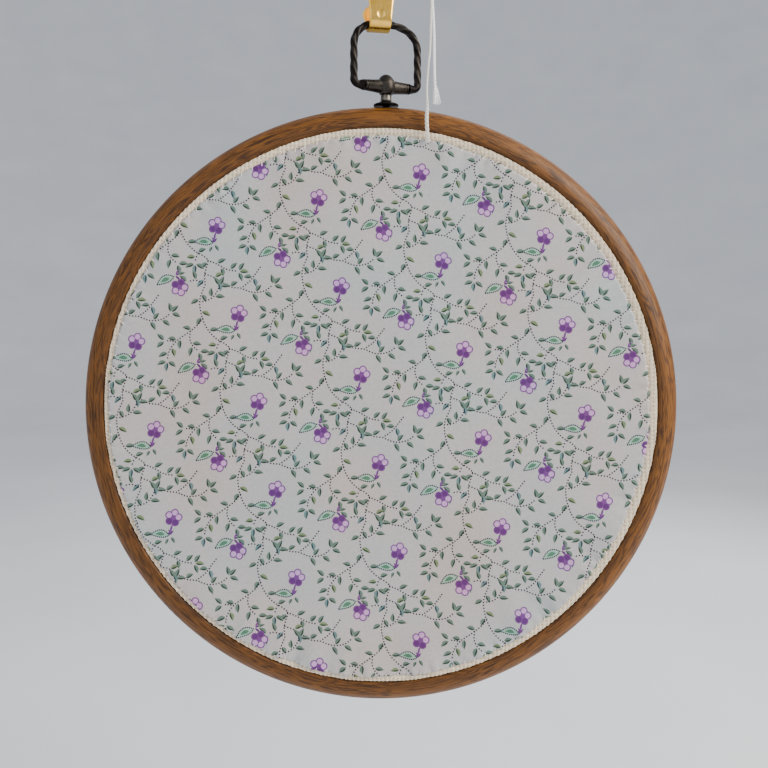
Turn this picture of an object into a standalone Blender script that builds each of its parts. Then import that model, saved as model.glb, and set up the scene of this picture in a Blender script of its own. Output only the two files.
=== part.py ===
"""Back of a hoop embroidery: a moulded wood-grain hoop gripping evenweave cloth, a printed backing cloth sewn
over the turned-in edge, a bronzed hanger with its bail, the brass hook that it hangs from, and sewing thread.

Metres, +Z up. The printed back faces -Y. Every piece is modelled about the hoop's centre and then placed
there, and the origin is on the flat face of the hook's shank by which the hook is fastened.
"""

import math

import bmesh
import bpy
import numpy as np
from mathutils import Matrix, Vector

MM = 0.001
GAP = 0.3 * MM
TURN_STEPS = 84

# Outer ring: half-round outside, flat inside, with a small rounded lip at both edges.
RING_INNER_R = 75.9 * MM
RING_CROWN_R = 82.45 * MM
RING_HALF_DEPTH = 5.55 * MM
RING_LIP_R = 0.7 * MM
RING_ROUND_STEPS = 10
RING_LIP_STEPS = 2

# Ground cloth: stretched over the inner ring, with its edge turned in behind.
CLOTH_THICK = 0.9 * MM
CLOTH_WALL_R = RING_INNER_R - GAP
CLOTH_FRONT_Y = 4.7 * MM
CLOTH_BACK_Y = -4.5 * MM
CLOTH_SHOULDER = 1.1 * MM
CLOTH_TURN_IN_R = 62.0 * MM
CLOTH_SHOULDER_STEPS = 3

# Inner ring, inside the cloth.
INNER_RING_RADIAL = 2.8 * MM
INNER_RING_EDGE = 0.4 * MM

# Backing cloth, seen from -Y: its edge radius, how far its centre is off the hoop's, and its thickness.
BACKING_R = 74.1 * MM
BACKING_OFF_X = -0.55 * MM
BACKING_OFF_Z = -0.4 * MM
BACKING_THICK = 1.0 * MM
BACKING_BACK_Y = CLOTH_BACK_Y - GAP
BACKING_STEPS = 144
BACKING_RADII = (0.3, 0.6, 0.8, 0.88, 0.94, 0.98)
BACKING_EDGE_ROUND = 0.25 * MM
BACKING_HOLLOW = 0.35 * MM
EDGE_DRAWN_IN = 0.6

# Main folds at the backing's edge. Angles run clockwise from the right as seen from -Y; a height above zero
# is a puff between two stitches, and one below zero is a pull at a stitch.
FOLD_COLUMNS = ("angle_deg", "height_mm", "half_width_deg", "reach_mm")
MAIN_FOLDS = (
    (4, 0.30, 4.0, 8),
    (21, -0.35, 2.5, 9),
    (28, 0.35, 3.5, 10),
    (35, -0.30, 2.5, 8),
    (47, 0.30, 3.0, 9),
    (52, -0.30, 2.5, 8),
    (57, 0.35, 3.0, 10),
    (68, 0.25, 4.0, 8),
    (80, 0.35, 3.5, 10),
    (86, -0.25, 2.5, 7),
    (93, 0.35, 2.5, 9),
    (98, 0.40, 2.5, 12),
    (105, 0.40, 3.0, 12),
    (109, -0.35, 2.5, 9),
    (113, 0.35, 2.5, 10),
    (121, 0.40, 3.0, 12),
    (131, 0.25, 4.0, 8),
    (153, 0.30, 3.0, 5),
    (171, 0.30, 3.0, 5),
    (184, 0.30, 3.0, 5),
    (204, 0.30, 3.0, 5),
    (228, -0.25, 3.0, 6),
    (244, -0.25, 3.0, 6),
    (260, 0.30, 3.5, 8),
    (285, 0.35, 2.5, 9),
    (289, -0.30, 2.5, 8),
    (299, 0.30, 3.0, 9),
    (304, 0.45, 2.5, 12),
    (327, 0.45, 2.5, 13),
    (331, -0.30, 2.5, 8),
    (350, 0.25, 4.0, 8),
)

# Hanger on the ring's crown: a turned base whose pin the knob swivels on, and a bail held in the knob's arms.
HANGER_X = 1.45 * MM
HANGER_YAW = math.radians(22.0)
HANGER_STEPS = 20
BASE_R = 3.6 * MM
BASE_RIM = 0.65 * MM
BASE_CONE = 0.7 * MM
STEM_R = 1.56 * MM
SHANK_R = 1.0 * MM
SHANK_LENGTH = 4.4 * MM
NECK_R = 0.95 * MM
NECK_LENGTH = 2.1 * MM
BASE_Z = RING_CROWN_R + GAP
KNOB_Z = 86.1 * MM
KNOB_FOOT_R = 1.9 * MM
KNOB_R = 2.62 * MM
KNOB_DOME_Z = 89.0 * MM
KNOB_TOP_Z = 91.8 * MM
BARREL_Z = 88.3 * MM
BARREL_ROOT_R = 1.85 * MM
BARREL_END_R = 1.55 * MM
BARREL_HALF = 6.4 * MM
BARREL_BORE_DEPTH = 2.0 * MM
PIN_R = 0.6 * MM

# Bail: two legs, an arch over them, and ends turned in with a collar and a pin.
WIRE_R = 1.0 * MM
WIRE_SIDES = 10
BAIL_HALF = 9.6 * MM
BAIL_SPRING_Z = 98.8 * MM
BAIL_RISE = 7.05 * MM
BAIL_ARCH_POWER = 2.4
BAIL_ARCH_STEPS = 26
BAIL_CORNER_R = 1.5 * MM
BAIL_CORNER_STEPS = 4

# Brass hook: a bent strip, its long shank in front of the bail and its short leg behind.
HOOK_YAW = math.radians(13.0)
HOOK_ALONG_BAIL = -2.34 * MM
HOOK_THICK = 0.6 * MM
HOOK_BEND_R = 3.3 * MM
HOOK_BOTTOM_Z = 103.2 * MM
HOOK_TOP_Z = 119.2 * MM
HOOK_TIP_Z = 112.1 * MM
HOOK_MOUNT_Z = 116.0 * MM
HOOK_BEND_HALF = 3.1 * MM
HOOK_SHANK_HALF = 3.65 * MM
HOOK_LEG_HALF = 3.9 * MM
HOOK_FLARE_Z = 112.0 * MM
HOOK_BEND_STEPS = 12
HOOK_END_STEPS = 6
HOOK_TIP_ROUND = 3.4 * MM

# Sewing thread: a strand from the backing's seam up to a knot, and the tail that hangs from the knot.
THREAD_R = 0.33 * MM
THREAD_STEP = 1.5 * MM
KNOT_R = 1.0 * MM
KNOT_CENTRE_MM = (14.1, -2.9, 113.9)
STRAND_ROUTE_MM = (
    (12.75, -6.75, 72.1),
    (12.55, -6.85, 74.5),
    (12.42, -6.85, 78.2),
    (12.58, -6.60, 81.2),
    (12.53, -6.05, 86.5),
    (12.98, -5.45, 93.0),
    (13.42, -5.00, 97.0),
    (13.68, -4.35, 103.5),
    (13.88, -3.70, 109.8),
    (13.98, -3.45, 112.7),
)
TAIL_ROUTE_MM = (
    (14.20, -2.30, 112.7),
    (14.35, -2.15, 109.5),
    (14.55, -2.15, 106.0),
    (14.72, -2.35, 101.0),
    (14.74, -2.65, 95.0),
    (14.80, -2.95, 90.5),
    (14.92, -3.10, 87.0),
    (14.88, -3.15, 84.4),
    (14.80, -3.15, 82.7),
)


def hook_frame():
    """Centre and yaw of the hook: the point where the bail's wire crosses the middle of its bend."""
    along = Vector((math.cos(HANGER_YAW), math.sin(HANGER_YAW), 0))
    return Vector((HANGER_X, 0, 0)) + along * HOOK_ALONG_BAIL


def hook_point(across, depth, height):
    """A point of the hook, from the strip's own width, depth and height to the hoop's frame."""
    side = Vector((math.cos(HOOK_YAW), math.sin(HOOK_YAW), 0))
    back = Vector((-math.sin(HOOK_YAW), math.cos(HOOK_YAW), 0))
    return hook_frame() + side * across + back * depth + Vector((0, 0, height))


HOOK_SHANK_DEPTH = -HOOK_BEND_R
HOOP_CENTRE = -hook_point(0, HOOK_SHANK_DEPTH + HOOK_THICK / 2, HOOK_MOUNT_Z)


def material(name, colour, roughness, metallic=0.0):
    """A Principled material with one colour, for a plain view of the model."""
    made = bpy.data.materials.new(name)
    made.use_nodes = True
    shader = made.node_tree.nodes["Principled BSDF"]
    shader.inputs["Base Color"].default_value = (*colour, 1.0)
    shader.inputs["Roughness"].default_value = roughness
    shader.inputs["Metallic"].default_value = metallic
    made.diffuse_color = (*colour, 1.0)
    return made


def place(obj, look):
    """Links an object, gives it its material, and puts it at the hoop's centre."""
    bpy.context.scene.collection.objects.link(obj)
    obj.data.materials.append(look)
    obj.location = HOOP_CENTRE + obj.location
    return obj


def solid(name, bm, look, crease_deg=35):
    """Turns a finished bmesh into a placed object, smooth but for its sharp edges."""
    bmesh.ops.recalc_face_normals(bm, faces=bm.faces)
    mesh = bpy.data.meshes.new(name)
    bm.to_mesh(mesh)
    bm.free()
    mesh.shade_smooth()
    mesh.set_sharp_from_angle(angle=math.radians(crease_deg))
    return place(bpy.data.objects.new(name, mesh), look)


def turned(profile, axis, steps):
    """Spins a closed outline of (radius, along) pairs a full turn about an axis through the centre."""
    out = Vector((0, 0, 1)) if abs(axis.z) < 0.5 else Vector((1, 0, 0))
    bm = bmesh.new()
    verts = [bm.verts.new(out * radius + axis * along) for radius, along in profile]
    pairs = list(zip(verts, verts[1:] + verts[:1], strict=True))
    edges = [bm.edges.new(pair) for pair in pairs if not all(abs(v.co.dot(out)) < 1e-9 for v in pair)]
    bmesh.ops.spin(
        bm, geom=verts + edges, cent=(0, 0, 0), axis=axis, angle=2 * math.pi, steps=steps, use_merge=True
    )
    bmesh.ops.remove_doubles(bm, verts=bm.verts, dist=1e-6)
    return bm


def arc(centre, radius_x, radius_y, start_deg, end_deg, steps):
    """Points along an elliptical arc, both ends included."""
    turns = np.radians(np.linspace(start_deg, end_deg, steps + 1))
    return [(centre[0] + radius_x * math.cos(t), centre[1] + radius_y * math.sin(t)) for t in turns]


def cut_bore(target, radius, low_z, high_z):
    """Cuts an upright round hole on the hanger's axis from low_z to high_z."""
    bore = bmesh.new()
    middle = Matrix.Translation((HANGER_X, 0, (low_z + high_z) / 2))
    bmesh.ops.create_cone(
        bore,
        cap_ends=True,
        segments=HANGER_STEPS,
        radius1=radius,
        radius2=radius,
        depth=high_z - low_z,
        matrix=middle,
    )
    name = f"{target.name}_bore_cutter"
    cutter = solid(name, bore, material("cutter", (1, 0, 0), 0.5))
    cutter.hide_render = True
    cutter.display_type = "WIRE"
    cut = target.modifiers.new("bore", "BOOLEAN")
    cut.operation = "DIFFERENCE"
    cut.object = cutter


def outer_ring():
    """A half-round moulding turned about Y, with a blind bore in its crown for the hanger's shank."""
    lip_r = RING_INNER_R + RING_LIP_R
    lip_y = RING_HALF_DEPTH - RING_LIP_R
    profile = arc((lip_r, 0), RING_CROWN_R - lip_r, RING_HALF_DEPTH, -90, 90, RING_ROUND_STEPS)
    profile += arc((lip_r, lip_y), RING_LIP_R, RING_LIP_R, 90, 180, RING_LIP_STEPS)[1:]
    profile += arc((lip_r, -lip_y), RING_LIP_R, RING_LIP_R, 180, 270, RING_LIP_STEPS)[:-1]
    bm = turned(profile, Vector((0, 1, 0)), TURN_STEPS)
    ring = solid("outer_ring", bm, material("moulded wood-grain vinyl", (0.26, 0.12, 0.038), 0.45))

    floor_z = BASE_Z - SHANK_LENGTH - GAP
    cut_bore(ring, SHANK_R + GAP, floor_z, BASE_Z + BASE_RIM)


def ground_cloth():
    """Front disc, wall and turned-in edge of the evenweave, as one turned section of even thickness."""
    bend = CLOTH_SHOULDER
    inner = CLOTH_WALL_R - CLOTH_THICK
    front_in = CLOTH_FRONT_Y - CLOTH_THICK
    back_in = CLOTH_BACK_Y + CLOTH_THICK
    tight = bend - CLOTH_THICK
    middle_r = CLOTH_WALL_R - bend
    steps = CLOTH_SHOULDER_STEPS
    profile = [(0, front_in), (0, CLOTH_FRONT_Y)]
    profile += arc((middle_r, CLOTH_FRONT_Y - bend), bend, bend, 90, 0, steps)
    profile += arc((middle_r, CLOTH_BACK_Y + bend), bend, bend, 0, -90, steps)
    profile += [(CLOTH_TURN_IN_R, CLOTH_BACK_Y), (CLOTH_TURN_IN_R, back_in)]
    profile += [(inner - tight, back_in), (inner, back_in + tight)]
    profile += [(inner, front_in - tight), (inner - tight, front_in)]
    bm = turned(profile, Vector((0, 1, 0)), TURN_STEPS)
    solid("ground_cloth", bm, material("cream evenweave cotton", (0.75, 0.62, 0.43), 0.9))


def inner_ring():
    """The plain ring that the cloth is stretched over."""
    outer = CLOTH_WALL_R - CLOTH_THICK - GAP
    low = CLOTH_BACK_Y + CLOTH_THICK + GAP
    high = CLOTH_FRONT_Y - CLOTH_THICK - GAP
    edge = INNER_RING_EDGE
    base = outer - INNER_RING_RADIAL
    profile = [(base, low), (base, high), (outer - edge, high), (outer, high - edge)]
    profile += [(outer, low + edge), (outer - edge, low)]
    bm = turned(profile, Vector((0, 1, 0)), TURN_STEPS)
    solid("inner_ring", bm, material("plain hoop plastic", (0.2, 0.1, 0.04), 0.5))


def fold_height(angle_deg, inward):
    """Height of the backing's folds: each is a bell across its angle that dies away inwards over its reach."""
    height = np.zeros_like(angle_deg)
    for row in MAIN_FOLDS:
        fold = dict(zip(FOLD_COLUMNS, row, strict=True))
        off = (angle_deg - fold["angle_deg"] + 180) % 360 - 180
        across = np.exp(-((off / fold["half_width_deg"]) ** 2))
        along = np.exp(-((inward / (fold["reach_mm"] * MM)) ** 2))
        height = height + fold["height_mm"] * MM * across * along
    return height


def backing_cloth():
    """A puckered disc: rings of points at set shares of its edge radius, on the front and on the back."""
    angle_deg = np.arange(BACKING_STEPS) * 360.0 / BACKING_STEPS
    turn = np.radians(angle_deg)
    edge_r = BACKING_R + EDGE_DRAWN_IN * fold_height(angle_deg, np.zeros(BACKING_STEPS))
    front = []
    back = []
    for share in (*BACKING_RADII, 1.0):
        radius = edge_r * share - (BACKING_EDGE_ROUND if share < 1.0 else 0)
        inward = edge_r - radius
        x = BACKING_OFF_X + radius * np.cos(turn)
        z = BACKING_OFF_Z - radius * np.sin(turn)
        hollow = BACKING_HOLLOW * (1 - share**2)
        rounding = BACKING_EDGE_ROUND if share == 1.0 else 0
        y_front = BACKING_BACK_Y - BACKING_THICK + hollow + rounding - fold_height(angle_deg, inward)
        y_back = np.full(BACKING_STEPS, BACKING_BACK_Y - rounding)
        if CLOTH_TURN_IN_R > share * BACKING_R + 2 * MM:
            y_back = y_front + BACKING_THICK
        front.append(np.column_stack((x, y_front, z)))
        back.append(np.column_stack((x, y_back, z)))

    bm = bmesh.new()
    loops = [[bm.verts.new(p) for p in ring] for ring in front]
    loops += [[bm.verts.new(p) for p in ring] for ring in reversed(back)]
    for near, far in zip(loops, loops[1:], strict=False):
        for k in range(BACKING_STEPS):
            j = (k + 1) % BACKING_STEPS
            bm.faces.new((near[k], near[j], far[j], far[k]))
    for rim in (loops[0], loops[-1]):
        middle = bm.verts.new(sum((v.co for v in rim), Vector()) / BACKING_STEPS)
        for k in range(BACKING_STEPS):
            bm.faces.new((rim[k], rim[(k + 1) % BACKING_STEPS], middle))
    solid("backing_cloth", bm, material("printed lawn cotton", (0.66, 0.64, 0.61), 0.85))


def hanger_base():
    """Shank, saddle flange, stem and swivel neck, turned in one about Z."""
    rim_z = BASE_Z + BASE_RIM
    cone_z = rim_z + BASE_CONE
    stem_top = KNOB_Z - GAP
    profile = [(0, BASE_Z - SHANK_LENGTH), (SHANK_R, BASE_Z - SHANK_LENGTH), (SHANK_R, BASE_Z)]
    profile += [(BASE_R, BASE_Z), (BASE_R, rim_z), (STEM_R + GAP, cone_z), (STEM_R, cone_z + GAP)]
    profile += [(STEM_R, stem_top), (NECK_R, stem_top), (NECK_R, stem_top + NECK_LENGTH)]
    profile += [(0, stem_top + NECK_LENGTH)]
    bm = turned(profile, Vector((0, 0, 1)), HANGER_STEPS)
    obj = solid("hanger_base", bm, material("bronzed steel pin", (0.05, 0.045, 0.04), 0.35, 1.0))
    obj.location.x += HANGER_X


def knob_barrel():
    """A domed knob turned about Z and made one with two bored arms turned about X, then bored from below."""
    dome = KNOB_TOP_Z - KNOB_DOME_Z
    profile = [(0, KNOB_Z), (KNOB_FOOT_R, KNOB_Z), (KNOB_R, KNOB_Z + 1.2 * MM)]
    profile += [(KNOB_R, KNOB_DOME_Z), (0.88 * KNOB_R, KNOB_DOME_Z + 0.45 * dome)]
    profile += [(0.55 * KNOB_R, KNOB_DOME_Z + 0.78 * dome), (0.2 * KNOB_R, KNOB_DOME_Z + 0.9 * dome)]
    profile += [(0, KNOB_TOP_Z)]
    look = material("bronzed casting", (0.05, 0.045, 0.04), 0.35, 1.0)
    knob = solid("knob_barrel", turned(profile, Vector((0, 0, 1)), HANGER_STEPS), look)
    knob.location.x += HANGER_X
    knob.rotation_euler.z = HANGER_YAW

    hole_r = PIN_R + GAP
    blind = BARREL_HALF - BARREL_BORE_DEPTH
    half = [(0, blind), (hole_r, blind), (hole_r, BARREL_HALF), (BARREL_END_R, BARREL_HALF)]
    half += [(BARREL_END_R, BARREL_HALF - 0.6 * MM), (BARREL_ROOT_R, 2.4 * MM)]
    arms = half + [(radius, -along) for radius, along in reversed(half)]
    bm = turned(arms, Vector((1, 0, 0)), HANGER_STEPS)
    bar = solid("barrel_arms_guide", bm, look)
    bar.location += Vector((HANGER_X, 0, BARREL_Z))
    bar.rotation_euler.z = HANGER_YAW
    bar.hide_render = True
    bar.display_type = "WIRE"
    union = knob.modifiers.new("arms", "BOOLEAN")
    union.operation = "UNION"
    union.object = bar
    cut_bore(knob, NECK_R + GAP, KNOB_Z - BASE_RIM, KNOB_Z + NECK_LENGTH)


def bail_stations():
    """Centreline and radius of the bail from its left pin to its right pin, as (across, height, radius)."""
    collar = BARREL_HALF + GAP
    pin_end = BARREL_HALF - BARREL_BORE_DEPTH + GAP
    corner = BAIL_HALF - BAIL_CORNER_R
    middle_z = BARREL_Z + BAIL_CORNER_R
    half = [(pin_end, BARREL_Z, PIN_R), (collar, BARREL_Z, PIN_R), (collar, BARREL_Z, BARREL_END_R)]
    half += [(corner, BARREL_Z, 1.15 * WIRE_R)]
    for x, z in arc((corner, middle_z), BAIL_CORNER_R, BAIL_CORNER_R, -90, 0, BAIL_CORNER_STEPS)[1:]:
        half.append((x, z, WIRE_R))
    turns = np.linspace(0, math.pi, BAIL_ARCH_STEPS + 1)
    arch = []
    for t in turns:
        x = BAIL_HALF * math.copysign(abs(math.cos(t)) ** (2 / BAIL_ARCH_POWER), math.cos(t))
        z = BAIL_SPRING_Z + BAIL_RISE * abs(math.sin(t)) ** (2 / BAIL_ARCH_POWER)
        arch.append((x, z, WIRE_R))
    other = [(-x, z, radius) for x, z, radius in reversed(half)]
    return half + arch + other


def bail():
    """A round bar of changing radius carried along the flat D of the bail, its rings square to the path."""
    stations = bail_stations()
    path = np.array([(x, z) for x, z, _ in stations])
    ahead = np.diff(path, axis=0)
    keep = np.linalg.norm(ahead, axis=1) > 1e-9
    heading = np.zeros_like(path)
    heading[:-1][keep] += ahead[keep] / np.linalg.norm(ahead[keep], axis=1)[:, None]
    heading[1:][keep] += ahead[keep] / np.linalg.norm(ahead[keep], axis=1)[:, None]
    heading /= np.linalg.norm(heading, axis=1)[:, None]

    bm = bmesh.new()
    rings = []
    for (x, z, radius), (run, rise) in zip(stations, heading, strict=True):
        across = Vector((rise, 0, -run))
        ring = []
        for k in range(WIRE_SIDES):
            turn = 2 * math.pi * k / WIRE_SIDES
            point = Vector((x, 0, z)) + (across * math.cos(turn) + Vector((0, 1, 0)) * math.sin(turn)) * radius
            ring.append(bm.verts.new(point))
        rings.append(ring)
    for near, far in zip(rings, rings[1:], strict=False):
        for k in range(WIRE_SIDES):
            j = (k + 1) % WIRE_SIDES
            bm.faces.new((near[k], near[j], far[j], far[k]))
    bm.faces.new(rings[0])
    bm.faces.new(rings[-1])
    obj = solid("bail", bm, material("bronzed twisted wire", (0.05, 0.045, 0.04), 0.4, 1.0))
    obj.location.x += HANGER_X
    obj.rotation_euler.z = HANGER_YAW


def hook_stations():
    """Down the shank, round the bend and up the short leg: (depth, height, depth step, height step, half width)."""
    bend_z = HOOK_BOTTOM_Z + HOOK_THICK / 2 + HOOK_BEND_R
    rows = []
    ends = np.linspace(0, 1, HOOK_END_STEPS + 1)
    for share in ends:
        drop = HOOK_SHANK_HALF * share
        half = HOOK_SHANK_HALF * math.sqrt(max(1 - (1 - share) ** 2, 0.02))
        rows.append((-HOOK_BEND_R, HOOK_TOP_Z - drop, 0, -1, half))
    rows.append((-HOOK_BEND_R, HOOK_FLARE_Z, 0, -1, HOOK_SHANK_HALF))
    for turn in np.linspace(math.pi, 2 * math.pi, HOOK_BEND_STEPS + 1):
        depth = HOOK_BEND_R * math.cos(turn)
        height = bend_z + HOOK_BEND_R * math.sin(turn)
        rows.append((depth, height, -math.sin(turn), math.cos(turn), HOOK_BEND_HALF))
    leg_z = HOOK_TIP_Z - HOOK_TIP_ROUND
    for share in reversed(ends):
        half = HOOK_LEG_HALF * math.sqrt(max(1 - (1 - share) ** 2, 0.02))
        rows.append((HOOK_BEND_R, leg_z + HOOK_TIP_ROUND * (1 - share), 0, 1, half))
    return rows


def brass_hook():
    """A flat strip of changing width carried along the hook's bend."""
    bm = bmesh.new()
    sections = []
    for depth, height, run, rise, half in hook_stations():
        out_depth = rise * HOOK_THICK / 2
        out_height = -run * HOOK_THICK / 2
        corners = ((-half, -1), (half, -1), (half, 1), (-half, 1))
        section = [
            bm.verts.new(hook_point(across, depth + side * out_depth, height + side * out_height))
            for across, side in corners
        ]
        sections.append(section)
    for near, far in zip(sections, sections[1:], strict=False):
        for k in range(4):
            j = (k + 1) % 4
            bm.faces.new((near[k], near[j], far[j], far[k]))
    bm.faces.new(sections[0])
    bm.faces.new(sections[-1])
    solid("brass_hook", bm, material("polished brass strip", (0.75, 0.5, 0.16), 0.2, 1.0))


def smooth_route(route_mm, step):
    """Evenly spaced points on a Catmull-Rom curve through the route's own points."""
    knots = np.array(route_mm) * MM
    padded = np.vstack((2 * knots[0] - knots[1], knots, 2 * knots[-1] - knots[-2]))
    t = np.linspace(0, 1, 12, endpoint=False)[:, None]
    pieces = []
    for a, b, c, d in zip(padded, padded[1:], padded[2:], padded[3:], strict=False):
        curve = 2 * b + (c - a) * t + (2 * a - 5 * b + 4 * c - d) * t**2 + (3 * b - a - 3 * c + d) * t**3
        pieces.append(curve / 2)
    dense = np.vstack((*pieces, knots[-1:]))
    run = np.concatenate(([0.0], np.cumsum(np.linalg.norm(np.diff(dense, axis=0), axis=1))))
    marks = np.linspace(0, run[-1], max(2, round(run[-1] / step)) + 1)
    return np.column_stack([np.interp(marks, run, dense[:, k]) for k in range(3)])


def thread(name, route_mm, look):
    """A plain round tube along a smooth route."""
    points = smooth_route(route_mm, THREAD_STEP)
    curve = bpy.data.curves.new(name, "CURVE")
    curve.dimensions = "3D"
    curve.bevel_depth = THREAD_R
    curve.bevel_resolution = 2
    curve.use_fill_caps = True
    spline = curve.splines.new("POLY")
    spline.points.add(len(points) - 1)
    spline.points.foreach_set("co", np.column_stack((points, np.ones(len(points)))).ravel())
    place(bpy.data.objects.new(name, curve), look)


def thread_knot(look):
    """The knot that ties the strand and the tail together at the top."""
    bm = bmesh.new()
    at = Matrix.Translation(Vector(KNOT_CENTRE_MM) * MM)
    bmesh.ops.create_uvsphere(bm, u_segments=12, v_segments=8, radius=KNOT_R, matrix=at)
    solid("thread_knot", bm, look, 80)


def main():
    for old in list(bpy.data.objects):
        bpy.data.objects.remove(old, do_unlink=True)
    outer_ring()
    inner_ring()
    ground_cloth()
    backing_cloth()
    hanger_base()
    knob_barrel()
    bail()
    brass_hook()
    white = material("white sewing thread", (0.85, 0.83, 0.79), 0.8)
    thread("thread_strand", STRAND_ROUTE_MM, white)
    thread("thread_tail", TAIL_ROUTE_MM, white)
    thread_knot(white)


main()
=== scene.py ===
import math

import bmesh
import bpy
import numpy as np
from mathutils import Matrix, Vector
from mathutils.geometry import delaunay_2d_cdt


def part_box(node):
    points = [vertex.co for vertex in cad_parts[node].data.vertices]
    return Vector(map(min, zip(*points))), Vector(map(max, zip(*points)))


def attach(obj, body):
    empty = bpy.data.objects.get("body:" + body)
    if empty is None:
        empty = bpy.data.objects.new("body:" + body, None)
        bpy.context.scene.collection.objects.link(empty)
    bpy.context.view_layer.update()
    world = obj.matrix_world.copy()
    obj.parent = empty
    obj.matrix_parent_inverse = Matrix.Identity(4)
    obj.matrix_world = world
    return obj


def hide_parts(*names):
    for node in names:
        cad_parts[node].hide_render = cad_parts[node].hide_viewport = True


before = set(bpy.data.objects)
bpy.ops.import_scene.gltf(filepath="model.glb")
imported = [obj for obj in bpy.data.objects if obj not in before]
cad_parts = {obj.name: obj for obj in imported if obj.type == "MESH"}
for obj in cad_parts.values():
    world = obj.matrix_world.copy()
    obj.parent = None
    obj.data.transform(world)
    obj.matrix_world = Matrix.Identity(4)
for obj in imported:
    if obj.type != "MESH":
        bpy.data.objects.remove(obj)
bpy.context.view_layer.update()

# Back of a hoop embroidery on its hanging hook. Pieces are worked out in millimetres about the hoop's
# centre, with x to the right, z up and the printed back towards -y, and then placed in the row frame.
MM = 0.001
ring_low, ring_high = (np.array(corner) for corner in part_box("outer_ring"))
HOOP_CENTRE = (ring_low + ring_high) / 2
RNG = np.random.default_rng(7)

# Outer ring: half-round outside, flat inside, with a small rounded lip at both edges.
RING_INNER_R = 75.9
RING_CROWN_R = 82.45
RING_HALF_DEPTH = 5.55
RING_LIP_R = 0.7

# Ground cloth over the inner ring, its edge turned in behind. One thread lies 1.13 mm from the next.
CLOTH_THICK = 0.9
CLOTH_WALL_R = 75.6
CLOTH_FRONT_Y = 4.7
CLOTH_BACK_Y = -4.5
CLOTH_SHOULDER = 1.1
CLOTH_TURN_IN_R = 62.0
CLOTH_SWELL = 0.84
THREAD_PITCH = 1.13
THREAD_RELIEF = 0.34

# Printed backing, sewn down over the ground cloth's turned-in edge; its own edge rolls down. Its flat map is
# a square 154 mm wide, with the unseen back in a corner of it. Slivers on the rim are left out of the face.
BACKING_R = 74.1
BACKING_OFF = np.array([-0.55, -0.4])
BACKING_BACK_Y = -4.8
BACKING_THICK = 1.0
BACKING_HOLLOW = 0.35
PRINT_MAP_SPAN = 154.0
MAP_CORNER = 0.004
EDGE_DRAWN_IN = 0.6
EDGE_ROLL = 0.95
EDGE_ROLL_WIDTH = 0.9
LAWN_PITCH = 0.34
RIM_POINTS = 1080
ON_THE_RIM = 0.0006
STITCHES = 148

# Folds of the backing: angle clockwise from the right as seen from the printed side, height, half width in
# degrees and reach inwards. A height above zero is a puff between stitches, and one below zero is a pull.
FOLDS = np.array([
    (4, 0.30, 4.0, 8), (12, 0.15, 2.0, 5), (21, -0.35, 2.5, 9), (28, 0.35, 3.5, 10), (35, -0.30, 2.5, 8),
    (47, 0.30, 3.0, 9), (52, -0.30, 2.5, 8), (57, 0.35, 3.0, 10), (68, 0.25, 4.0, 8), (80, 0.35, 3.5, 10),
    (86, -0.25, 2.5, 7), (93, 0.35, 2.5, 9), (98, 0.40, 2.5, 12), (105, 0.40, 3.0, 12), (109, -0.35, 2.5, 9),
    (113, 0.35, 2.5, 10), (121, 0.40, 3.0, 12), (131, 0.25, 4.0, 8), (153, 0.30, 3.0, 5),
    (171, 0.30, 3.0, 5), (184, 0.30, 3.0, 5), (204, 0.30, 3.0, 5), (216, 0.15, 2.0, 4),
    (228, -0.25, 3.0, 6), (244, -0.25, 3.0, 6),
    (260, 0.30, 3.5, 8), (272, 0.18, 2.5, 6), (285, 0.35, 2.5, 9), (289, -0.30, 2.5, 8), (299, 0.30, 3.0, 9),
    (304, 0.45, 2.5, 12), (316, -0.15, 2.0, 6), (327, 0.45, 2.5, 13), (331, -0.30, 2.5, 8),
    (340, 0.18, 2.5, 6), (350, 0.25, 4.0, 8),
])

# Hanger on the ring's crown, its knob and bail turned a little to the left.
HANGER_X = 1.45
HANGER_YAW = math.radians(22.0)
BASE_Z = RING_CROWN_R + 0.3
KNOB_Z = 86.1
BARREL_Z = 88.3
BARREL_HALF = 6.4
BAIL_HALF = 9.6
BAIL_SPRING_Z = 98.8
BAIL_RISE = 7.05
WIRE_R = 1.0
ROPE_TURN = 15.0

# Brass hook: a bent strip, its long shank in front of the bail and its short leg behind.
HOOK_YAW = math.radians(13.0)
HOOK_ALONG_BAIL = -2.34
HOOK_THICK = 0.6
HOOK_BEND_R = 3.3
HOOK_BOTTOM_Z = 103.2
HOOK_TOP_Z = 119.2
HOOK_TIP_Z = 112.1
HOOK_DIMPLE_Z = 107.3
HOOK_SHANK_HALF = 3.65
HOOK_BEND_HALF = 3.1
HOOK_TIP_HALF = 3.9
HOOK_TIP_LONG = 3.4

# Sewing thread: a strand from the backing's seam up to a knot, and the tail that hangs from the knot.
KNOT_CENTRE = (14.1, -2.9, 113.9)
STRAND_ROUTE = (
    (12.75, -6.75, 72.1), (12.55, -6.85, 74.5), (12.42, -6.85, 78.2), (12.58, -6.60, 81.2),
    (12.53, -6.05, 86.5), (12.98, -5.45, 93.0), (13.42, -5.00, 97.0), (13.68, -4.35, 103.5),
    (13.88, -3.70, 109.8), (13.98, -3.45, 112.7),
)
TAIL_ROUTE = (
    (14.20, -2.30, 112.7), (14.35, -2.15, 109.5), (14.55, -2.15, 106.0), (14.72, -2.35, 101.0),
    (14.74, -2.65, 95.0), (14.80, -2.95, 90.5), (14.92, -3.10, 87.0), (14.88, -3.15, 84.4),
    (14.80, -3.15, 82.7),
)


def placed(points):
    """Points in millimetres about the hoop's centre, as metres in the row frame."""
    return np.asarray(points, float) * MM + HOOP_CENTRE


# ---------------------------------------------------------------------------------------------- mesh tools


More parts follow.
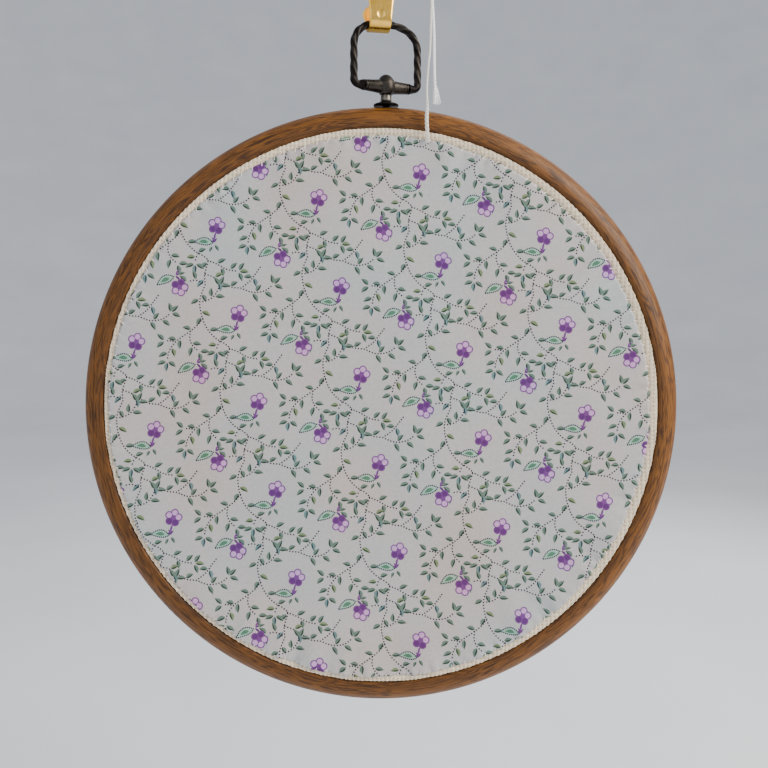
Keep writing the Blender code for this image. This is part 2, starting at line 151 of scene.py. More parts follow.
def grid_faces(rows, columns, sheets=1):
    """Quads of a grid, row by row: (i, j), (i, j+1), (i+1, j+1), (i+1, j), repeated for each sheet."""
    start = np.arange(rows - 1)[:, None] * columns + np.arange(columns - 1)
    quads = np.stack((start, start + 1, start + columns + 1, start + columns), -1).reshape(-1, 4)
    return (quads + np.arange(sheets)[:, None, None] * rows * columns).reshape(-1, 4)


def merged(mesh, apart):
    """Merges points that lie no further apart than this, in metres, and turns all faces outwards."""
    bm = bmesh.new()
    bm.from_mesh(mesh)
    bmesh.ops.remove_doubles(bm, verts=bm.verts, dist=apart)
    bmesh.ops.recalc_face_normals(bm, faces=bm.faces)
    bm.to_mesh(mesh)
    bm.free()
    mesh.shade_smooth()


def piece(name, points, look, vectors=None, crease_deg=50.0):
    """A closed piece from one or more grids of points, (sheets, rows, columns, 3). A seam's points are given
    twice and a pole's once for each column, and they are merged here, so the surface closes. vectors are
    named vectors, or plain numbers that fill all three parts, one for each point, that a pattern reads."""
    points = np.asarray(points, float)
    if points.ndim == 3:
        points = points[None]
    sheets, rows, columns, _ = points.shape
    mesh = bpy.data.meshes.new(name)
    mesh.from_pydata(placed(points.reshape(-1, 3)), [], grid_faces(rows, columns, sheets))
    for key, values in (vectors or {}).items():
        layer = mesh.attributes.new(key, "FLOAT_VECTOR", "POINT")
        if np.ndim(values) == 2:
            values = np.repeat(values[..., None], 3, axis=-1)
        layer.data.foreach_set("vector", values.astype(np.float32).reshape(-1))
    merged(mesh, 2e-7)
    mesh.set_sharp_from_angle(angle=math.radians(crease_deg))
    return shown(name, mesh, look)


def shown(name, mesh, look):
    """Puts a mesh in the scene with its material, riding on the one body."""
    obj = bpy.data.objects.new(name, mesh)
    bpy.context.scene.collection.objects.link(obj)
    mesh.materials.append(look)
    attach(obj, "root")
    return obj


def arc(centre, radius_x, radius_y, start_deg, end_deg, steps):
    """Points along an elliptical arc: centre + (radius_x cos t, radius_y sin t), both ends included."""
    turn = np.radians(np.linspace(start_deg, end_deg, steps + 1))
    return np.column_stack((centre[0] + radius_x * np.cos(turn), centre[1] + radius_y * np.sin(turn)))


def turned(profile, steps, axis="y"):
    """A closed outline of (radius, along) pairs turned about an axis: radius (cos t, sin t) and along it."""
    turn = np.linspace(0, 2 * np.pi, steps + 1)
    profile = np.vstack((profile, profile[:1]))
    radius, along = profile[:, :1], np.repeat(profile[:, 1:], steps + 1, axis=1)
    first, second = radius * np.cos(turn), radius * np.sin(turn)
    if axis == "y":
        return np.stack((first, along, second), -1)
    if axis == "z":
        return np.stack((first, second, along), -1)
    return np.stack((along, first, second), -1)


def yawed(points, yaw, about=(0.0, 0.0)):
    """Points turned by yaw about an upright line and moved to stand on it."""
    x, y, z = np.moveaxis(np.asarray(points, float), -1, 0)
    cos, sin = math.cos(yaw), math.sin(yaw)
    return np.stack((about[0] + x * cos - y * sin, about[1] + x * sin + y * cos, z), -1)


def headings(paths):
    """Unit direction of each point of a path, or of each path of several, from the points on both sides."""
    ahead = np.gradient(paths, axis=-2)
    return ahead / np.maximum(np.linalg.norm(ahead, axis=-1, keepdims=True), 1e-9)


def square_to(paths, towards=(0.0, 1.0, 0.0)):
    """Two unit directions square to a path and to each other: path x towards, and that x path."""
    ahead = headings(paths)
    side = np.cross(ahead, np.broadcast_to(towards, ahead.shape))
    side /= np.maximum(np.linalg.norm(side, axis=-1, keepdims=True), 1e-9)
    return side, np.cross(side, ahead)


def tubes(paths, radii, sides, towards=(0.0, 1.0, 0.0)):
    """Round bars along paths, (bars, stations, 3): centre + radius (cos t side + sin t other). radii are
    (bars, stations), or (bars, stations, sides + 1), and both ends close on a point."""
    side, other = square_to(paths, towards)
    turn = np.linspace(0, 2 * np.pi, sides + 1)
    around = side[..., None, :] * np.cos(turn)[:, None] + other[..., None, :] * np.sin(turn)[:, None]
    radii = np.asarray(radii, float)
    if radii.ndim < 3:
        radii = radii[..., None]
    rings = paths[..., None, :] + around * np.broadcast_to(radii, around.shape[:-1])[..., None]
    ends = np.broadcast_to(paths[..., None, :], rings.shape)
    return np.concatenate((ends[:, :1], rings, ends[:, -1:]), axis=1)


def smooth_route(route, step):
    """Evenly spaced points on a Catmull-Rom curve through the route's own points."""
    knots = np.array(route, float)
    padded = np.vstack((2 * knots[0] - knots[1], knots, 2 * knots[-1] - knots[-2]))
    a, b, c, d = (padded[k : len(padded) - 3 + k, None] for k in range(4))
    t = np.linspace(0, 1, 12, endpoint=False)[None, :, None]
    curve = (2 * b + (c - a) * t + (2 * a - 5 * b + 4 * c - d) * t**2 + (3 * b - a - 3 * c + d) * t**3) / 2
    dense = np.vstack((curve.reshape(-1, knots.shape[1]), knots[-1:]))
    return evened(dense, step)


def run_along(line):
    """Distance along a line of points at each of them."""
    return np.concatenate(([0.0], np.cumsum(np.linalg.norm(np.diff(line, axis=0), axis=1))))


def evened(line, step):
    """The same line with its points an even step apart, every column read off by its distance along."""
    run = run_along(line)
    marks = np.linspace(0, run[-1], max(2, round(run[-1] / step)) + 1)
    return np.column_stack([np.interp(marks, run, line[:, k]) for k in range(line.shape[1])])


# ---------------------------------------------------------------------------------------- colour and nodes


def linear(colour):
    """An sRGB hex colour as linear red, green, blue and 1: (c / 12.92) below 0.04045, else the 2.4 power."""
    srgb = np.array([int(colour[k : k + 2], 16) for k in (1, 3, 5)]) / 255
    return (*np.where(srgb <= 0.04045, srgb / 12.92, ((srgb + 0.055) / 1.055) ** 2.4).tolist(), 1.0)


def add(look, kind, settings=None, inputs=None, out=0):
    """Adds a node of a kind to a material, with its settings and its inputs, and gives back its output. An
    input is a value, or another node's output, which is linked; a tuple of them fills the first sockets.
    stops are a colour ramp's (place, colour) pairs."""
    nodes = look.node_tree.nodes
    made = nodes.get(kind) if kind == "Principled BSDF" else nodes.new("ShaderNode" + kind)
    for key, value in (settings or {}).items():
        if key != "stops":
            setattr(made, key, value)
            continue
        ramp = made.color_ramp.elements
        while len(ramp) < len(value):
            ramp.new(1.0)
        for element, (place, colour) in zip(ramp, value, strict=True):
            element.position = place
            element.color = linear(colour) if isinstance(colour, str) else (colour, colour, colour, 1.0)
    if isinstance(inputs, tuple):
        inputs = dict(enumerate(inputs))
    for key, value in (inputs or {}).items():
        if isinstance(value, bpy.types.NodeSocket):
            look.node_tree.links.new(value, made.inputs[key])
        else:
            made.inputs[key].default_value = value
    return made.outputs[out]


def new_look(name):
    """An empty material with a Principled shader."""
    look = bpy.data.materials.new(name)
    look.use_nodes = True
    return look


def weave_height(look, coordinates, pitch):
    """Plain weave: each thread is a ridge |sin|, lifted where it goes over and sunk where it goes under.
    With a = sin(pi x / pitch) and b = sin(pi z / pitch), the height is
    max(|a|^.5 (.6 + .4ab), |b|^.5 (.6 - .4ab))."""
    parts = add(look, "SeparateXYZ", None, (coordinates,)).node
    waves = []
    for k in (0, 2):
        turns = add(look, "Math", {"operation": "MULTIPLY"}, (parts.outputs[k], math.pi / (pitch * MM)))
        waves.append(add(look, "Math", {"operation": "SINE"}, (turns,)))
    both = add(look, "Math", {"operation": "MULTIPLY"}, tuple(waves))
    ridges = []
    for wave, sign in zip(waves, (0.4, -0.4), strict=True):
        size = add(look, "Math", {"operation": "ABSOLUTE"}, (wave,))
        ridge = add(look, "Math", {"operation": "POWER"}, (size, 0.5))
        lift = add(look, "Math", {"operation": "MULTIPLY_ADD"}, (both, sign, 0.6))
        ridges.append(add(look, "Math", {"operation": "MULTIPLY"}, (ridge, lift)))
    return add(look, "Math", {"operation": "MAXIMUM"}, tuple(ridges))


def wood_grain_vinyl():
    """Soft vinyl moulded half-round and printed as dark oak: long flame figures, short pores, a satin
    skin."""
    look = new_look("wood-grain printed vinyl, moulded")
    # The grain vector goes round the ring at a ninth of its real length, so figures come out nine times as
    # long as they are wide; its third number is the way across the moulding, in millimetres. So a scale here
    # is 1 / a width in millimetres: 2.9 for figures, 0.19 for pores, and 0.3 and 0.8 for fibres and streaks,
    # which are drawn out further still.
    grain = add(look, "Attribute", {"attribute_name": "grain"}, out="Vector")
    drift = add(look, "TexNoise", None, {
        "Vector": grain, "Scale": 0.34, "Detail": 2.0, "Roughness": 0.55,
    })
    across = add(look, "SeparateXYZ", None, {0: grain}, out=2)
    bands = add(look, "Math", {"operation": "MULTIPLY"}, (across, 0.42))
    phase = add(look, "Math", {"operation": "MULTIPLY_ADD"}, (drift, 11.0, bands))
    rings = add(look, "Math", {"operation": "PINGPONG"}, (phase, 0.5))
    fine_way = add(look, "Mapping", None, {"Vector": grain, "Scale": (0.42, 0.42, 1.0)})
    fibre = add(look, "TexNoise", None, {
        "Vector": fine_way, "Scale": 3.4, "Detail": 5.0, "Roughness": 0.7,
    })
    streak = add(look, "TexNoise", None, {
        "Vector": fine_way, "Scale": 1.25, "Detail": 2.0, "Roughness": 0.5,
    })
    pore = add(look, "TexNoise", None, {"Vector": grain, "Scale": 5.2, "Detail": 1.0, "Roughness": 0.5})
    fine = add(look, "Math", {"operation": "MULTIPLY"}, (fibre, 0.82))
    mixed = add(look, "Math", {"operation": "MULTIPLY_ADD"}, (rings, 0.62, fine))
    mixed = add(look, "Math", {"operation": "MULTIPLY_ADD"}, (streak, 0.42, mixed))
    stops = ((0.40, "#1C0D01"), (0.54, "#3B2003"), (0.70, "#593409"), (0.88, "#7C4C14"))
    colour = add(look, "ValToRGB", {"stops": stops}, {0: mixed})
    # The lip weight darkens the colour to two thirds at the lips and on the inner wall: painted shade of the
    # groove by the cloth, with the print a little darker there too.
    lip = add(look, "Attribute", {"attribute_name": "lip"}, out="Fac")
    shaded = add(look, "MapRange", None, {0: lip, 1: 0.0, 2: 1.0, 3: 1.0, 4: 0.66})
    colour = add(look, "VectorMath", {"operation": "SCALE"}, {0: colour, "Scale": shaded})
    dark = add(look, "MapRange", None, {0: pore, 1: 0.58, 2: 0.74, 3: 0.0, 4: 0.48})
    colour = add(look, "Mix", {"data_type": "RGBA"}, {0: dark, 6: colour, 7: linear("#190A01")}, out=2)
    rough = add(look, "MapRange", None, {0: fibre, 1: 0.3, 2: 0.7, 3: 0.56, 4: 0.44})
    bump = add(look, "Bump", None, {"Strength": 0.35, "Distance": 0.06 * MM, "Height": mixed})
    add(look, "Principled BSDF", None, {"Base Color": colour, "Roughness": rough, "Normal": bump,
                                        "IOR": 1.5, "Specular IOR Level": 0.3})
    return look


def hoop_plastic():
    """Injection-moulded plastic of the inner ring, hidden in the cloth: plain brown, faintly flow-marked."""
    look = new_look("hoop plastic, injection moulded")
    where = add(look, "TexCoord", out="Object")
    flow = add(look, "TexNoise", None, {"Vector": where, "Scale": 0.06 / MM, "Detail": 3.0})
    colour = add(look, "ValToRGB", {"stops": ((0.3, "#6B4523"), (0.7, "#7C5430"))}, {0: flow})
    add(look, "Principled BSDF", None, {"Base Color": colour, "Roughness": 0.45, "IOR": 1.49})
    return look


def evenweave_cotton():
    """Unbleached evenweave: round threads in a plain weave 1.13 mm apart, with painted shade darkening the
    colour down in the holes.
    """
    look = new_look("unbleached evenweave cotton, plain woven")
    where = add(look, "TexCoord", out="Object")
    height = weave_height(look, where, THREAD_PITCH)
    slub = add(look, "TexNoise", None, {
        "Vector": where, "Scale": 0.9 / MM, "Detail": 3.0, "Roughness": 0.6,
    })
    cloud = add(look, "TexNoise", None, {"Vector": where, "Scale": 0.06 / MM, "Detail": 2.0})
    # Painted shade: the colour darkens with the weave's height, from the thread crowns down into the holes.
    stops = ((0.16, "#8A7760"), (0.36, "#CBB594"), (0.62, "#EBD9BD"))
    hole = add(look, "ValToRGB", {"stops": stops}, (height,))
    tint = add(look, "MapRange", None, {0: slub, 1: 0.32, 2: 0.68, 3: 0.86, 4: 1.06})
    cloud = add(look, "MapRange", None, {0: cloud, 1: 0.3, 2: 0.7, 3: 0.94, 4: 1.04})
    tint = add(look, "Math", {"operation": "MULTIPLY"}, (tint, cloud))
    colour = add(look, "VectorMath", {"operation": "SCALE"}, {0: hole, "Scale": tint})
    relief = add(look, "Math", {"operation": "MULTIPLY_ADD"}, {0: slub, 1: 0.35, 2: height})
    bump = add(look, "Bump", None, {"Strength": 0.8, "Distance": 0.16 * MM, "Height": relief})
    add(look, "Principled BSDF", None, {
        "Base Color": colour, "Roughness": 0.9, "Normal": bump,
        "Specular IOR Level": 0.2, "Sheen Weight": 0.15, "Sheen Roughness": 0.5,
    })
    return look


def printed_cotton():
    """Fine cotton lawn, screen printed in purple, sage and plum: the inks are named on the faces, and the
    weave, at 0.34 mm a thread, shows as a faint even tooth."""
    look = new_look("cotton lawn, screen printed")
    where = add(look, "TexCoord", out="Object")
    ink = add(look, "Attribute", {"attribute_name": "ink"}, out="Color")
    height = weave_height(look, where, LAWN_PITCH)
    tooth = add(look, "TexNoise", None, {
        "Vector": where, "Scale": 1.5 / MM, "Detail": 2.0, "Roughness": 0.6,
    })
    cloud = add(look, "TexNoise", None, {
        "Vector": where, "Scale": 0.03 / MM, "Detail": 3.0, "Roughness": 0.5,
    })
    stops = ((0.35, "#F2FBFB"), (0.5, "#FCFBF8"), (0.66, "#FFF6EE"))
    warm = add(look, "ValToRGB", {"stops": stops}, (cloud,))
    blend = {"data_type": "RGBA", "blend_type": "MULTIPLY"}
    colour = add(look, "Mix", blend, {0: 1.0, 6: ink, 7: warm}, out=2)
    # Painted shade and highlight: the colour is a little darker down between the threads and a little
    # lighter on their crowns.
    thread = add(look, "MapRange", None, {0: height, 1: 0.15, 2: 0.9, 3: 0.88, 4: 1.04})
    fleck = add(look, "MapRange", None, {0: tooth, 1: 0.3, 2: 0.7, 3: 0.93, 4: 1.05})
    tone = add(look, "Math", {"operation": "MULTIPLY"}, (thread, fleck))
    colour = add(look, "VectorMath", {"operation": "SCALE"}, {0: colour, "Scale": tone})
    relief = add(look, "Math", {"operation": "MULTIPLY_ADD"}, {0: tooth, 1: 0.6, 2: height})
    bump = add(look, "Bump", None, {"Strength": 0.45, "Distance": 0.05 * MM, "Height": relief})
    add(look, "Principled BSDF", None, {
        "Base Color": colour, "Roughness": 0.86, "Normal": bump,
        "Specular IOR Level": 0.25, "Sheen Weight": 0.12, "Sheen Roughness": 0.5,
    })
    return look


def bronzed_metal(name, comes_from):
    """Steel or zinc with a dark bronzed finish, a little worn to bright metal where hands and wire rub it:
    comes_from names the attribute that says how much."""
    look = new_look(name)
    where = add(look, "TexCoord", out="Object")
    grime = add(look, "TexNoise", None, {
        "Vector": where, "Scale": 0.42 / MM, "Detail": 4.0, "Roughness": 0.6,
    })
    worn = add(look, "Attribute", {"attribute_name": comes_from}, out="Vector")
    worn = add(look, "SeparateXYZ", None, {0: worn}, out=0)
    patchy = add(look, "MapRange", None, {0: grime, 1: 0.35, 2: 0.62, 3: 0.25, 4: 1.0})
    rub = add(look, "Math", {"operation": "MULTIPLY"}, (worn, patchy))
    stops = ((0.3, "#100E0D"), (0.55, "#1C1815"), (0.75, "#2A241F"))
    colour = add(look, "ValToRGB", {"stops": stops}, (grime,))
    colour = add(look, "Mix", {"data_type": "RGBA"}, {0: rub, 6: colour, 7: linear("#A59C90")}, out=2)
    rough = add(look, "MapRange", None, {0: grime, 1: 0.3, 2: 0.7, 3: 0.30, 4: 0.46})
    bump = add(look, "Bump", None, {"Strength": 0.35, "Distance": 0.04 * MM, "Height": grime})
    add(look, "Principled BSDF", None, {
        "Base Color": colour, "Metallic": 0.92, "Roughness": rough, "Normal": bump,
    })
    return look


def polished_brass():
    """Rolled brass strip, polished along its length and lacquered: fine lengthwise lines a ninth of a
    millimetre apart, and faint clouding 2 mm across. The strip vector is in millimetres."""
    look = new_look("brass strip, rolled and polished")
    along = add(look, "Attribute", {"attribute_name": "strip"}, out="Vector")
    line_way = add(look, "Mapping", None, {"Vector": along, "Scale": (9.0, 0.35, 1.0)})
    lines = add(look, "TexNoise", None, {
        "Vector": line_way, "Scale": 1.0, "Detail": 3.0, "Roughness": 0.6,
    })
    cloud = add(look, "TexNoise", None, {"Vector": along, "Scale": 0.5, "Detail": 3.0, "Roughness": 0.6})
    stops = ((0.3, "#F6BE4E"), (0.52, "#FCC95E"), (0.75, "#FFD474"))
    colour = add(look, "ValToRGB", {"stops": stops}, (cloud,))
    # Painted shade: the colour is darkened towards brown along the underside of the bend.
    tarnish = add(look, "Attribute", {"attribute_name": "tarnish"}, out="Vector")
    tarnish = add(look, "SeparateXYZ", None, (tarnish,))
    colour = add(look, "Mix", {"data_type": "RGBA"}, {0: tarnish, 6: colour, 7: linear("#5E4412")}, out=2)
    rough = add(look, "MapRange", None, {0: lines, 1: 0.3, 2: 0.7, 3: 0.16, 4: 0.30})
    bump = add(look, "Bump", None, {"Strength": 0.15, "Distance": 0.02 * MM, "Height": lines})
    add(look, "Principled BSDF", None, {
        "Base Color": colour, "Metallic": 1.0, "Roughness": rough, "Normal": bump,
    })
    return look


def sewing_thread(name, pale, shaded):
    """Spun cotton thread: matt, with a soft halo of fibres and a little shade between its plies."""
    look = new_look(name)
    where = add(look, "TexCoord", out="Object")
    fibre = add(look, "TexNoise", None, {
        "Vector": where, "Scale": 2.6 / MM, "Detail": 2.0, "Roughness": 0.6,
    })
    colour = add(look, "ValToRGB", {"stops": ((0.25, shaded), (0.6, pale))}, {0: fibre})
    bump = add(look, "Bump", None, {"Strength": 0.4, "Distance": 0.03 * MM, "Height": fibre})
    add(look, "Principled BSDF", None, {"Base Color": colour, "Roughness": 0.85, "Normal": bump,
                                        "Sheen Weight": 0.3, "Sheen Roughness": 0.4})
    return look


def painted_board():
    """The pale painted ground of the studio."""
    look = new_look("matt painted board")
    where = add(look, "TexCoord", out="Object")
    mottle = add(look, "TexNoise", None, {"Vector": where, "Scale": 0.006 / MM, "Detail": 3.0})
    colour = add(look, "ValToRGB", {"stops": ((0.3, "#E4E5E8"), (0.7, "#EBECEE"))}, {0: mottle})
    add(look, "Principled BSDF", None, {"Base Color": colour, "Roughness": 0.95, "Specular IOR Level": 0.1})
    return look


# ------------------------------------------------------------------------------------- camera, light, floor


def camera():
    """A level camera a little above the hoop's centre, close enough for the hanger to be seen from below."""
    data = bpy.data.cameras.new("camera")
    data.lens = 36.0
    data.sensor_width = 36.0
    data.shift_y = -0.122
    data.clip_start = 0.01
    data.dof.use_dof = False
    eye = bpy.data.objects.new("camera", data)
    eye.location = placed((0.84, -215.3, 31.3))
    eye.rotation_euler = (math.radians(90.0), 0.0, 0.0)
    bpy.context.scene.collection.objects.link(eye)
    bpy.context.scene.camera = eye


def lamp(name, at, width, height, watts, colour):
    """A soft square lamp aimed at the hoop's centre."""
    data = bpy.data.lights.new(name, "AREA")
    data.shape = "RECTANGLE"
    data.size, data.size_y = width, height
    data.energy = watts
    data.color = linear(colour)[:3]
    obj = bpy.data.objects.new(name, data)
    obj.location = placed(at)
    aim = Vector(HOOP_CENTRE) - Vector(obj.location)
    obj.rotation_euler = aim.to_track_quat("-Z", "Y").to_euler()
    bpy.context.scene.collection.objects.link(obj)


def studio():
    """A window-like key from the upper right, a broad fill in front, a soft lamp behind and a pale sky."""
    lamp("key", (620, -300, 400), 0.4, 0.6, 10.0, "#FFF9F0")
    lamp("fill", (-300, -700, 250), 0.9, 0.9, 2.3, "#F2F6FF")
    lamp("back", (250, 600, 350), 0.7, 0.7, 3.0, "#F4F8FF")
    world = bpy.data.worlds.new("pale sky")
    world.use_nodes = True
    world.node_tree.nodes["Background"].inputs["Color"].default_value = linear("#E9EDF4")
    world.node_tree.nodes["Background"].inputs["Strength"].default_value = 0.76
    bpy.context.scene.world = world


def floor():
    """A round floor well below the hoop that dishes up at its rim: height = rise * share^2 past 1.6 m."""
    radius = np.linspace(0, 4.0, 41)[:, None]
    turn = np.linspace(0, 2 * np.pi, 73)
    height = -0.36 + 2.2 * np.clip((radius - 1.6) / 2.4, 0, 1) ** 2
    points = np.stack((radius * np.cos(turn), radius * np.sin(turn), height + 0 * turn), -1)
    mesh = bpy.data.meshes.new("floor")
    mesh.from_pydata(points.reshape(-1, 3), [], grid_faces(41, 73))
    merged(mesh, 1e-5)
    mesh.materials.append(painted_board())
    obj = bpy.data.objects.new("floor", mesh)
    bpy.context.scene.collection.objects.link(obj)


# ------------------------------------------------------------------------------------------- sewing thread


def twisted(path, plies, offset, ply_r, pitch, sides=8):
    """Plies wound about a path: ply k is a round bar along path + offset (cos p side + sin p other), with
    p = 2 pi (run / pitch + k / plies)."""
    side, other = square_to(path)
    run = run_along(path)
    phase = 2 * np.pi * (run / pitch + np.arange(plies)[:, None] / plies)
    centres = path + offset[:, None] * (side * np.cos(phase)[..., None] + other * np.sin(phase)[..., None])
    return tubes(centres, np.broadcast_to(ply_r, (plies, len(path))), sides)


def hairs(start, ends, radius, sides=5, stations=10, sag=0.0):
    """Loose fibres from near one point to several ends: start + (end - start) s, bowed by sag s (1 - s)."""
    share = np.linspace(0, 1, stations)[:, None]
    ends = np.asarray(ends, float)
    root = np.asarray(start) + RNG.normal(0, 0.05, ends.shape)
    bow = RNG.normal(0, 1, ends.shape)[:, None] * sag
    paths = root[:, None] + (ends - root)[:, None] * share + bow * (share * (1 - share))
    taper = radius * (1 - 0.55 * share[:, 0])
    return tubes(paths, np.broadcast_to(taper, paths.shape[:2]), sides)


def threads():
    """The strand, the tail and the knot, with fibres spread at the seam and at the tail's cut ends."""
    white = sewing_thread("spun cotton thread, white", "#FFFFFF", "#F6F3EE")
    cream = sewing_thread("spun cotton thread, cream", "#F1ECE2", "#C9BFAF")

    path = smooth_route(STRAND_ROUTE, 0.3)
    low = np.clip((84.0 - path[:, 2]) / 5.0, 0, 1)
    spread = np.clip((75.5 - path[:, 2]) / 3.0, 0, 1)
    strand = twisted(path, 3, 0.15 + 0.16 * low + 0.18 * spread, 0.155 + 0.09 * low - 0.09 * spread, 3.4)
    strand = piece("thread_strand_plies", strand, cream)
    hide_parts("thread_strand")

    path = smooth_route(TAIL_ROUTE, 0.3)
    loose = np.clip((89.0 - path[:, 2]) / 6.0, 0, 1)
    tail = twisted(path, 3, 0.20 + 0.10 * loose, 0.22 - 0.07 * loose, 3.0)
    tail = piece("thread_tail_plies", tail, white)
    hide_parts("thread_tail")

    seam_ends = [(12.2 + 0.32 * k, -6.05, 71.7 - 0.25 * (k % 2)) for k in range(5)]
    seam = hairs((12.5, -6.75, 75.2), seam_ends, 0.11, sag=0.25)
    seam = piece("seam_fibres", seam, white)
    spread = np.linspace(0, 1, 30)[:, None] * (1.9, 0, -0.1)
    fan = RNG.normal(0, 0.22, (30, 3)) + (14.6, -3.1, 82.95) + spread
    frayed = piece("frayed_ends", hairs((14.95, -3.05, 88.4), fan, 0.085, sag=0.5), white)

    # A trefoil knot drawn tight: (sin t + 2 sin 2t, -sin 3t, cos t - 2 cos 2t), three crossings in a ball.
    t = np.linspace(0, 2 * np.pi, 91)
    coil = np.stack((np.sin(t) + 2 * np.sin(2 * t), -np.sin(3 * t), np.cos(t) - 2 * np.cos(2 * t)), -1)
    knot = tubes(np.array(KNOT_CENTRE) + 0.235 * coil[None], np.full((1, 91), 0.30), 10)
    knot = piece("tight_knot", knot, white)
    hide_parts("thread_knot")


# ------------------------------------------------------------------------------------------ rings and cloth


def outer_ring():
    """The moulding: a D section, its round side an ellipse, its flat side inwards, turned about y. The grain
    vector is (cos t, sin t) times a ninth of the radius, and the way across the section; the lip vector is
    exp(-(distance from a lip / 2.6 mm)^2), and it darkens the colour near the lips and over the inner wall
    as painted shade of the groove by the cloth, with the print a little darker there too."""
    lip_r = RING_INNER_R + RING_LIP_R
    lip_y = RING_HALF_DEPTH - RING_LIP_R
    profile = np.vstack((
        arc((lip_r, 0), RING_CROWN_R - lip_r, RING_HALF_DEPTH, -90, 90, 34),
        arc((lip_r, lip_y), RING_LIP_R, RING_LIP_R, 90, 180, 6)[1:],
        arc((lip_r, -lip_y), RING_LIP_R, RING_LIP_R, 180, 270, 6)[:-1],
    ))
    steps = 480
    points = turned(profile, steps)
    turn = np.linspace(0, 2 * np.pi, steps + 1)
    across = run_along(np.vstack((profile, profile[:1])))
    across = np.repeat(across[:, None], steps + 1, axis=1)
    across[-1] = 0
    reach = 80.0 / 9
    grain = np.stack((reach * np.cos(turn) + 0 * across, reach * np.sin(turn) + 0 * across, across), -1)
    half_way = run_along(profile[:35])[-1]
    from_lip = np.maximum(np.minimum(across, half_way - across), 0)
    vectors = {"grain": grain, "lip": np.exp(-((from_lip / 2.6) ** 2))}
    ring = piece("hoop_moulding", points, wood_grain_vinyl(), vectors)
    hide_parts("outer_ring")


def weave(x, z):
    """The plain weave's height at a place on the cloth, from 0 in a hole to 1 on a thread that goes over."""
    a, b = np.sin(np.pi * x / THREAD_PITCH), np.sin(np.pi * z / THREAD_PITCH)
    return np.maximum(np.abs(a) ** 0.5 * (0.6 + 0.4 * a * b), np.abs(b) ** 0.5 * (0.6 - 0.4 * a * b))


def ground_cloth():
    """Front disc, wall and turned-in edge as one turned section. Squeezed between the rings, its back edge
    stands proud beside the moulding and ends there in a quarter ellipse. Where it shows, each point is moved
    square to the section by the relief times the weave's height there less 0.75."""
    bend, inner = CLOTH_SHOULDER, CLOTH_WALL_R - CLOTH_THICK
    middle_r = CLOTH_WALL_R - bend
    front_in, back_in = CLOTH_FRONT_Y - CLOTH_THICK, CLOTH_BACK_Y + CLOTH_THICK
    back_r = np.linspace(75.2, 71.9, 9)
    swell = np.interp(back_r, (72.3, 73.2, 74.3, 75.5), (0, 0.13, 0.72, CLOTH_SWELL))
    profile = np.vstack((
        np.column_stack(([0.0, 25.0, 50.0, 68.0], np.full(4, CLOTH_FRONT_Y))),
        arc((middle_r, CLOTH_FRONT_Y - bend), bend, bend, 90, 0, 6),
        arc((75.5, CLOTH_BACK_Y), 0.38, CLOTH_SWELL, 0, -90, 8),
        np.column_stack((back_r, CLOTH_BACK_Y - swell)),
        ((CLOTH_TURN_IN_R + 2, CLOTH_BACK_Y), (CLOTH_TURN_IN_R, CLOTH_BACK_Y), (CLOTH_TURN_IN_R, back_in)),
        ((inner - 0.2, back_in), (inner, back_in + 0.2), (inner, front_in - 0.2), (inner - 0.2, front_in)),
        ((0.0, front_in),),
    ))
    steps = 1320
    points = turned(profile, steps)
    rows = np.vstack((profile, profile[:1]))
    ahead = np.diff(rows, axis=0)
    ahead /= np.maximum(np.linalg.norm(ahead, axis=1), 1e-9)[:, None]
    normal = np.zeros_like(rows)
    normal[:-1] = np.column_stack((-ahead[:, 1], ahead[:, 0]))
    shows = np.zeros(len(rows))
    shows[12:14] = (0.3, 0.7)
    shows[14:29] = 1.0
    lift = THREAD_RELIEF * shows[:, None] * (weave(points[..., 0], points[..., 2]) - 0.75)
    turn = np.linspace(0, 2 * np.pi, steps + 1)
    points[..., 0] += lift * normal[:, :1] * np.cos(turn)
    points[..., 1] += lift * normal[:, 1:]
    points[..., 2] += lift * normal[:, :1] * np.sin(turn)
    cloth = piece("evenweave_ground", points, evenweave_cotton())
    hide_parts("ground_cloth")


def edge_and_height(x, z):
    """Where the backing's edge is and how high its face stands at (x, z). The height is a shallow hollow,
    bells across each fold that die away inwards, a dimple at each stitch with a small puff beside it, and a
    slack of three slow waves; over the last 0.9 mm the edge rolls down as a quarter circle."""
    x, z = x - BACKING_OFF[0], z - BACKING_OFF[1]
    radius = np.hypot(x, z)
    angle = np.degrees(np.arctan2(-z, x)) % 360
    folds = FOLDS[:, :, None]
    off = (angle - folds[:, 0] + 180) % 360 - 180
    across = folds[:, 1] * np.exp(-((off / folds[:, 2]) ** 2))
    stitch = angle * STITCHES / 360 * 2 * np.pi
    tug = 0.5 + 0.5 * np.sin(stitch * 0.137 + 1.3) * np.sin(angle / 17.0)
    edge = BACKING_R + EDGE_DRAWN_IN * across.sum(0) + 0.2 * tug * np.cos(stitch)
    inward = np.maximum(edge - radius, 0)
    height = 1.35 * (across * np.exp(-((inward / folds[:, 3]) ** 2))).sum(0)
    height += (0.08 + 0.18 * tug) * np.cos(stitch) * np.exp(-((inward - 0.8) / 1.5) ** 2)
    height += 0.16 * tug * np.cos(stitch / 2 + 0.7) * np.exp(-((inward / 4.5) ** 2))
    slack = 0.10 * np.sin(0.13 * x + 0.05 * z)
    slack += 0.09 * np.sin(0.11 * z - 0.07 * x + 1)
    slack += 0.06 * np.sin(0.21 * x + 0.17 * z + 2)
    height += slack * np.clip(inward / 15, 0, 1)
    height -= BACKING_HOLLOW * (1 - np.minimum(radius / edge, 1) ** 2)
    rolled = np.clip(inward / EDGE_ROLL_WIDTH, 0, 1)
    height -= (EDGE_ROLL + height) * (1 - np.sqrt(1 - (1 - rolled) ** 2))
    return edge, height


